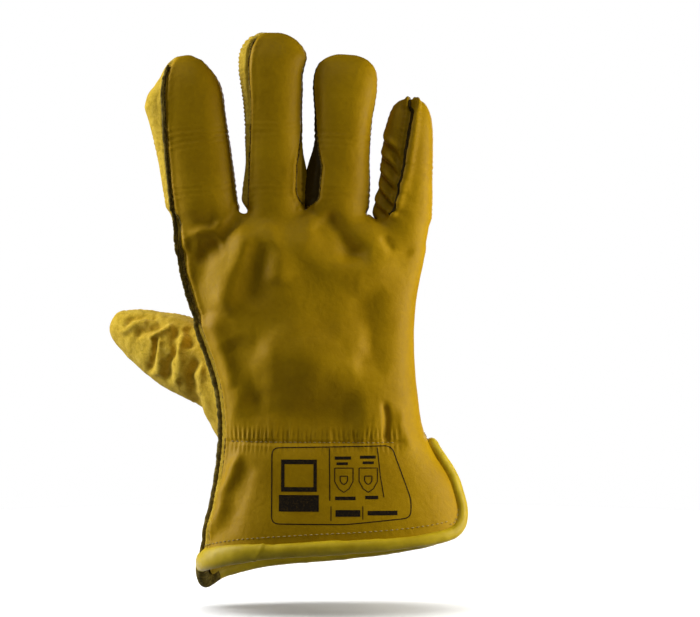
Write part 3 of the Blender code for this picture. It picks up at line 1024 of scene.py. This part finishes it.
def binding_ring(path, k, tall, sides):
    """The points round the binding at one place along it."""
    here = path[k]
    ahead = unit(path[(k + 2) % len(path)] - path[k - 2])
    out = unit(np.array((here[0], here[1], 0.0)))
    out = unit(out - out.dot(ahead) * ahead)
    up = np.cross(ahead, out)
    thick = min(3.2, tall * 0.9)
    turns = [2 * math.pi * j / sides for j in range(sides)]
    return [here + out * math.cos(t) * thick + up * math.sin(t) * tall for t in turns]


def make_binding():
    """The rolled leather binding round the mouth and up both sides of the vent."""
    count, sides = 720, 24
    path = hem_path(count)
    for _ in range(6):
        path = (path + np.roll(path, 1, 0) + np.roll(path, -1, 0)) / 3
    angles = hand_angle(path)
    tall = np.interp(angles, *BINDING_HEIGHT)
    points = np.array([point for k in range(count) for point in binding_ring(path, k, tall[k], sides)])
    away = points - np.repeat(path, sides, axis=0)
    away /= np.linalg.norm(away, axis=1)[:, None]
    wrinkle = 0.22 * layered(points, 5, 51) + 0.3 * layered(points, 17, 55)
    lap = points[:, 0] - LAP_X - 0.45 * (points[:, 2] + 2)
    step = 0.35 * smooth(lap, -0.4, 0.4) * fade(lap, 4, 26) - 0.2 * hump(lap + 0.9, 0.7)
    wrinkle -= (points[:, 1] < 0) * step
    points += away * wrinkle[:, None]
    faces, corner = [], []
    for k in range(count):
        n = (k + 1) % count
        # The binding between these angles gets a dark colour: painted shade on its corner.
        kept = corner if PAINTED_SHADE_CORNER[0] < angles[k] < PAINTED_SHADE_CORNER[1] else faces
        for j in range(sides):
            m = (j + 1) % sides
            kept.append((k * sides + j, k * sides + m, n * sides + m, n * sides + j))
    named = {"binding": (faces, "binding_leather"), "binding_corner": (corner, "welt_leather")}
    for name, (some, material) in named.items():
        used, index = np.unique(some, return_inverse=True)
        piece = make_piece(name, points[used], index.reshape(-1, 4), material)
        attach(piece, "hand")
        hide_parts("cuff_binding")


def make_lining():
    """The leather facing inside the hem, and the fleece lining above it up to where the fingers start."""
    count, rows, facing = 144, 60, 6
    points, faces = [], []
    for share in np.arange(rows) / (rows - 1):
        for k in range(count):
            angle = 360 * k / count - 180
            low = max(hem_height(angle + turn) for turn in (-6, 0, 6)) + 1.0
            depth = 3.2 + 1.5 * min(1, share * 12) + 1200 * max(0, share - 0.9) ** 2
            points.append(hand_point(angle, low + share * (148 - low), depth))
    for r in range(rows - 1):
        for k in range(count):
            n = (k + 1) % count
            faces.append((r * count + k, (r + 1) * count + k, (r + 1) * count + n, r * count + n))
    points = np.array(points)
    inward = -points * (1, 1, 0)
    inward /= np.linalg.norm(inward, axis=1)[:, None]
    points += inward * (0.5 * layered(points, 6, 61) + 0.3)[:, None]
    edge = facing * count
    strip = make_piece("hem_facing", points[:edge + count], faces[:edge], "split_leather")
    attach(strip, "hand")
    piece = make_piece("cuff_lining", points[edge:], np.array(faces[edge:]) - edge, "fleece")
    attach(piece, "hand")
    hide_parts("hand_lining", "wrist_elastic")


# ---------------------------------------------------------------- what lies on the skin


class Surface:
    """The finished skin, for finding places and normals on it."""

    def __init__(self, skin):
        self.tree = BVHTree.FromPolygons([tuple(p) for p in skin.points], [tuple(f) for f in skin.faces])

    def nearest(self, points):
        """The places on the skin nearest to these points, and the normals there."""
        found = [self.tree.find_nearest(Vector(point))[:2] for point in points]
        return np.array([place for place, _ in found]), np.array([normal for _, normal in found])

    def on_back(self, flat):
        """Where these (x, z) are on the back of the hand, and the normals there."""
        found = [self.tree.ray_cast(Vector((x, -80, z)), Vector((0, 1, 0)))[:2] for x, z in flat]
        return np.array([place for place, _ in found]), np.array([normal for _, normal in found])


def even_path(points, step):
    """Points along a path, this far apart."""
    points = np.asarray(points, float)
    gone = np.r_[0, np.cumsum(np.linalg.norm(np.diff(points, axis=0), axis=1))]
    at = np.linspace(0, gone[-1], max(3, int(gone[-1] / step) + 1))
    return np.column_stack([np.interp(at, gone, points[:, k]) for k in range(points.shape[1])])


def strip_mesh(path, normals, width, height, sides=10, wobble=0.0, seed=0, lift=0.0, square_ends=False):
    """Points and faces of a rounded cord along a path that lies on the skin."""
    points, faces = [], []
    last = len(path) - 1
    waves = 1 + wobble * noise(path, 2.6, 70 + seed)
    for k, here in enumerate(path):
        ahead = unit(path[min(k + 1, last)] - path[max(k - 1, 0)])
        up = unit(normals[k] - normals[k].dot(ahead) * ahead)
        across = np.cross(ahead, up)
        ends = 1.0 if square_ends else min(1.0, 0.25 + 0.25 * min(k, last - k))
        for j in range(sides):
            t = 2 * math.pi * j / sides
            round_it = across * math.cos(t) * width / 2 + up * math.sin(t) * height / 2
            points.append(here + up * lift + round_it * waves[k] * ends)
    for k in range(last):
        for j in range(sides):
            m = (j + 1) % sides
            faces.append((k * sides + j, k * sides + m, (k + 1) * sides + m, (k + 1) * sides + j))
    faces.append(tuple(range(sides))[::-1])
    faces.append(tuple(range(last * sides, (last + 1) * sides)))
    return points, faces


def joined(parts):
    """Several (points, faces) as one."""
    points, faces = [], []
    for some, shapes in parts:
        faces += [tuple(v + len(points) for v in f) for f in shapes]
        points += list(some)
    return points, faces


# The spacing of the points along a seam, and the share of each digit's length at which its seams end.
SEAM_STEP = 0.8
SEAM_END = {"thumb": 0.95, "index": 0.935, "middle": 0.965, "ring": 0.965, "little": 0.985}


def calm(path, times=4):
    """Smooths a path and keeps its ends."""
    for _ in range(times):
        path[1:-1] = (path[:-2] + 2 * path[1:-1] + path[2:]) / 4
    return path


def digit_path(surface, digit, edge, first, last, turn=0.0):
    """A path on the skin along a digit's seam, between two distances."""
    run = np.linspace(first, last, max(3, round((last - first) / SEAM_STEP)))
    angles = digit.seam_angle(edge, run / digit.length) + turn
    path, normals = surface.nearest([digit.point(angle, at) for angle, at in zip(angles, run)])
    return calm(path), normals


def hand_seam_path(surface, seam, low, high, turn=0.0):
    """A path on the skin along one of the hand's seams, between two heights."""
    path, normals = surface.nearest([hand_point(seam + turn, at) for at in np.arange(low, high, SEAM_STEP)])
    return calm(path), normals


def seam_ends(digit):
    """Where the seams of a digit's base and tip start and end, lapping a little."""
    where = split_at(digit)
    stop = digit.length * SEAM_END[digit.name]
    return {"base": (where["from"] - 0.3, where["cut"] + 0.3), "tip": (where["cut"] - 0.3, stop)}


def make_digit_seams(surface):
    """The thin dark line of thread and cut edges in each seam of the fingers and the thumb."""
    for digit in FINGERS.values():
        for part, (first, last) in seam_ends(digit).items():
            lines = []
            for number, edge in enumerate(digit.seams):
                if (digit.name, edge) in SHADOWED_SEAMS:
                    continue
                line = digit_path(surface, digit, edge, first, last)
                lines.append(strip_mesh(*line, 0.9, 0.7, 8, 0.4, number, -0.05, square_ends=True))
            piece = make_piece(f"{digit.name}_seam_{part}", *joined(lines), "seam_edge")
            bend(piece)


def make_thumb_join(surface):
    """The seam that sets the thumb into the palm."""
    thumb = FINGERS["thumb"]
    path, normals = surface.nearest([thumb.point(angle, THUMB_JOIN) for angle in range(190, 351, 4)])
    shape = strip_mesh(calm(path), normals, 0.9, 0.7, 8, 0.4, 9, -0.05)
    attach(make_piece("thumb_join_seam", *shape, "seam_edge"), "hand")


def make_shadowed_seams(surface):
    """A wide strip of painted shadow under the edge of each back panel that overhangs its seam."""
    for name, edge in SHADOWED_SEAMS:
        digit = FINGERS[name]
        for part, (first, last) in seam_ends(digit).items():
            line = digit_path(surface, digit, edge, first, last, 5)
            shape = strip_mesh(*line, 2.3, 0.9, 10, 0.2, 8, 0.0, square_ends=True)
            bend(make_piece(f"{name}_fold_seam_{part}", *shape, "dark_edge"))


def side_line(surface, turn, finger_turn):
    """A line on the skin up the hand's side seam and round onto the side of the index finger."""
    index = FINGERS["index"]
    low, _ = hand_seam_path(surface, HAND_SEAMS[1], -6, 152, turn)
    high, _ = digit_path(surface, index, "back_inner", -4, split_at(index)["from"] + 0.3, finger_turn)
    return surface.nearest(even_path(np.vstack((low, high)), SEAM_STEP))


def make_side_welt(surface):
    """The strip of cut edges that stands out along the seam from the index fingertip down to the cuff."""
    # The welts' dark colour is partly painted shade.
    welt = strip_mesh(*side_line(surface, 6, 7), 1.7, 3.4, 12, 0.22, 3, 0.5)
    seam = strip_mesh(*side_line(surface, 0, 0), 1.5, 0.8, 8, 0.3, 4, -0.1)
    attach(make_piece("hand_welt", *welt, "welt_leather"), "hand")
    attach(make_piece("hand_seam", *seam, "seam_edge"), "hand")
    index = FINGERS["index"]
    for part, (first, last) in seam_ends(index).items():
        line = digit_path(surface, index, "back_inner", first, last, 7)
        shape = strip_mesh(*line, 1.6, 2.8, 12, 0.25, 5, 0.3, square_ends=True)
        bend(make_piece(f"index_welt_{part}", *shape, "welt_leather"))


# The thickness of the stitching thread.
THREAD = 0.55


def stitch(place, ahead, normal, length):
    """One stitch: a short rounded bridge of thread."""
    ahead = unit(ahead - ahead.dot(normal) * normal)
    t = np.linspace(-1, 1, 7)[:, None]
    path = place + ahead * t * length / 2 + normal * (0.32 * THREAD - 0.75 * THREAD * t**4)
    return strip_mesh(path, [normal] * len(path), THREAD, THREAD, 6)


def stitch_row(places, normals, first, every, length):
    """Stitches along a path of places, one for this many places."""
    row = []
    for k in range(first, len(places) - 3, every):
        ahead = places[k + 2] - places[k - 2]
        if np.linalg.norm(ahead) > 0.1:
            row.append(stitch(places[k], ahead, normals[k], length))
    return row


def inside_hem(point, angle):
    """The place just inside the binding, beside a point on the hem's path."""
    angle = abs(angle)
    if angle < 30:
        return point + ((-4.2, 0, 2.6) if angle > 6 else (-4.0, 0, 5.5))
    return point + (0, 0, 7.0 if angle > 40 else 5.0)


def make_stitches(surface):
    """The stitched rows over the elastic and inside the binding."""
    ends = [(ELASTIC_REACH[0], ELASTIC_LINE), (ELASTIC_REACH[1] - 1, ELASTIC_LINE - 0.4)]
    rows = stitch_row(*surface.on_back(even_path(ends, 0.4)), 3, 6, 1.7)
    hem = hem_path(1400, 0.0)
    places, normals = surface.nearest([inside_hem(p, angle) for p, angle in zip(hem, hand_angle(hem))])
    step = np.linalg.norm(np.diff(places, axis=0), axis=1).mean()
    rows += stitch_row(places, normals, 2, max(1, round(2.7 / step)), 1.8)
    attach(make_piece("hand_stitches", *joined(rows), "thread"), "hand")


# The printed panel, in (x, z): lines with their widths, and blank shields and bars in place of its marks.
PRINT_OUTLINE = [(-26, 12.4), (-26, 49.2), (33, 50.2), (42.6, 24), (42.4, 15.2), (10, 12.2)]
SHIELD = [(-4.5, 6), (-4.5, -0.5), (-2.6, -4), (0, -5.8), (2.6, -4), (4.5, -0.5), (4.5, 6), (-4.5, 6)]
SHIELD_PLACES = [(9.5, 33.5), (21.5, 33.5)]
PRINT_LINES = [
    ([(2.4, 49.0), (2.6, 23.6)], 0.5),
    ([(26.0, 49.3), (27.4, 36), (29.2, 25.2)], 0.45),
    ([(3.2, 21.0), (3.2, 14.0)], 0.45),
    ([(18.8, 21.0), (18.8, 14.6)], 0.45),
]
PRINT_BARS = [
    (-21.4, 28.0, 17.6, 15.6), (-22.4, 18.4, 19.6, 8.0),
    (5.0, 43.6, 8.0, 1.5), (5.9, 41.0, 5.6, 1.3), (17.4, 44.0, 7.8, 1.5), (18.8, 41.4, 5.4, 1.3),
    (5.2, 24.0, 10.0, 1.7), (20.0, 24.4, 6.4, 1.7),
    (5.4, 16.0, 12.2, 3.2), (21.2, 16.6, 14.6, 2.2),
]
PRINT_WINDOW = (-19.6, 30.0, 14.0, 11.6)
INK_HEIGHT = 0.07


def within(place, box):
    """Whether a place (x, z) is inside a box given by its corner and its size."""
    return box[0] < place[0] < box[0] + box[2] and box[1] < place[1] < box[1] + box[3]


def printed_patch(surface, x, z, wide, tall, window=None):
    """A bar of ink laid on the skin, with an optional window left clear."""
    step = 0.55
    across, up = max(2, round(wide / step)), max(2, round(tall / step))
    flat = [(x + wide * c / across, z + tall * r / up) for r in range(up + 1) for c in range(across + 1)]
    places, normals = surface.on_back(flat)
    faces = []
    for r in range(up):
        for c in range(across):
            mid = (x + wide * (c + 0.5) / across, z + tall * (r + 0.5) / up)
            if window and within(mid, window):
                continue
            a = r * (across + 1) + c
            faces.append((a, a + 1, a + across + 2, a + across + 1))
    return places + normals * INK_HEIGHT, faces


def printed_line(surface, path, width):
    """A line of ink laid on the skin."""
    places, normals = surface.on_back(even_path(path, 0.5))
    points, faces = [], []
    last = len(places) - 1
    for k in range(last + 1):
        across = np.cross(unit(places[min(k + 1, last)] - places[max(k - 1, 0)]), normals[k])
        points += [places[k] + across * half + normals[k] * INK_HEIGHT for half in (width / 2, -width / 2)]
    for k in range(last):
        faces.append((2 * k, 2 * k + 1, 2 * k + 3, 2 * k + 2))
    return points, faces


def rounded(corners, radius):
    """A closed outline through these corners, each rounded off."""
    path = []
    for before, here, after in zip(corners[-1:] + corners, corners, corners[1:] + corners[:1]):
        here = np.array(here, float)
        into, away = unit(here - before), unit(after - here)
        for t in np.linspace(0, 1, 6):
            path.append(here - into * radius * (1 - t) ** 2 + away * radius * t**2)
    return path + path[:1]


def make_print(surface):
    """The printed panel on the cuff, with plain shapes in place of its marks."""
    parts = [printed_line(surface, rounded(PRINT_OUTLINE, 3.6), 0.55)]
    parts += [printed_line(surface, path, width) for path, width in PRINT_LINES]
    for x, z in SHIELD_PLACES:
        parts.append(printed_line(surface, [(a + x, b + z) for a, b in SHIELD], 0.45))
        parts.append(printed_line(surface, [(a * 0.4 + x, b * 0.35 + z) for a, b in SHIELD], 0.5))
    for number, bar in enumerate(PRINT_BARS):
        parts.append(printed_patch(surface, *bar, window=PRINT_WINDOW if number == 0 else None))
    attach(make_piece("cuff_print", *joined(parts), "ink"), "hand")


# ---------------------------------------------------------------- camera and light

CAMERA = (12.5, -1100, 118)
# The width of the view at the middle of the glove, and the sensor's.
VIEW_WIDTH, SENSOR = 352, 36
# Each light, in metres: place, target, size, power and colour.
LIGHTS = {
    "left_rim": ((-0.62, 0.03, 0.34), (-0.07, 0, 0.14), (0.3, 0.7), 5.8, (1, 1, 1)),
    "right_key": ((0.30, -0.065, 0.11), (0.03, 0, 0.09), (0.15, 0.4), 1.35, (1, 0.96, 0.84)),
    "front_fill": ((-0.22, -0.62, 1.05), (0, 0, 0.1), (0.7, 0.5), 1.6, (1, 1, 1)),
    "back_fill": ((0.3, 1.2, 0.5), (0, 0, 0.1), (0.8, 0.6), 5, (1, 1, 1)),
    "floor_light": ((0, 0, 1.2), (0, 0, 0), (1.5, 1.5), 18, (1, 1, 1)),
}


def make_camera():
    data = bpy.data.cameras.new("camera")
    data.sensor_width = SENSOR
    data.lens = SENSOR * abs(CAMERA[1]) / VIEW_WIDTH
    camera = bpy.data.objects.new("camera", data)
    bpy.context.scene.collection.objects.link(camera)
    camera.location = Vector(CAMERA) * MM
    camera.rotation_euler = (math.radians(90), 0, 0)
    bpy.context.scene.camera = camera


def area_light(name, place, target, size, power, colour):
    data = bpy.data.lights.new(name, "AREA")
    data.shape = "RECTANGLE"
    data.size, data.size_y = size
    data.energy = power
    data.color = colour
    light = bpy.data.objects.new(name, data)
    bpy.context.scene.collection.objects.link(light)
    light.location = place
    light.rotation_euler = (Vector(target) - Vector(place)).to_track_quat("-Z", "Y").to_euler()
    return light


def make_floor():
    """A pale round floor under the cuff, which throws no light back onto the glove."""
    rings, sides, size, height = 10, 64, 0.6, -0.034
    points = [(0, 0, height)]
    for r in range(1, rings + 1):
        for k in range(sides):
            t = 2 * math.pi * k / sides
            points.append((size * r / rings * math.cos(t), size * r / rings * math.sin(t), height))
    faces = [(0, 1 + k, 1 + (k + 1) % sides) for k in range(sides)]
    for a in range(1, 1 + (rings - 1) * sides, sides):
        for k in range(sides):
            n = (k + 1) % sides
            faces.append((a + k, a + sides + k, a + sides + n, a + n))
    mesh = bpy.data.meshes.new("floor")
    mesh.from_pydata(points, [], faces)
    mesh.materials.append(shader_tree("floor_pale", (0.93, 0.93, 0.93), 0.9)[0])
    floor = bpy.data.objects.new("floor", mesh)
    bpy.context.scene.collection.objects.link(floor)
    floor.visible_diffuse = False
    return floor


def background(tree, colour, strength):
    node = tree.nodes.new("ShaderNodeBackground")
    node.inputs["Color"].default_value = (*colour, 1)
    node.inputs["Strength"].default_value = strength
    return node.outputs["Background"]


def make_surround():
    """A surround that looks white and gives a dim even light."""
    world = bpy.data.worlds.new("world")
    world.use_nodes = True
    tree = world.node_tree
    either = tree.nodes.new("ShaderNodeMixShader")
    seen = tree.nodes.new("ShaderNodeLightPath")
    tree.links.new(seen.outputs["Is Camera Ray"], either.inputs["Fac"])
    tree.links.new(background(tree, (0.95, 0.97, 1), 0.065), either.inputs[1])
    tree.links.new(background(tree, (1, 1, 1), 1.0), either.inputs[2])
    tree.links.new(either.outputs["Shader"], tree.nodes["World Output"].inputs["Surface"])
    bpy.context.scene.world = world
    bpy.context.scene.view_settings.view_transform = "Standard"


def make_studio():
    """The floor, the surround and the lights, one of which lights the floor alone."""
    floor = make_floor()
    make_surround()
    lamps = {name: area_light(name, *values) for name, values in LIGHTS.items()}
    only = bpy.data.collections.new("floor_only")
    only.objects.link(floor)
    lamps["floor_light"].light_linking.receiver_collection = only


skin = blank()
soften_joins(skin)
skin.raise_by(relief(skin))
skin.relax(max(2, round(8 * FINER)), near_crotches(skin.points))
cut_panels(skin)
surface = Surface(skin)
make_binding()
make_lining()
make_digit_seams(surface)
make_thumb_join(surface)
make_shadowed_seams(surface)
make_side_welt(surface)
make_stitches(surface)
make_print(surface)
make_camera()
make_studio()
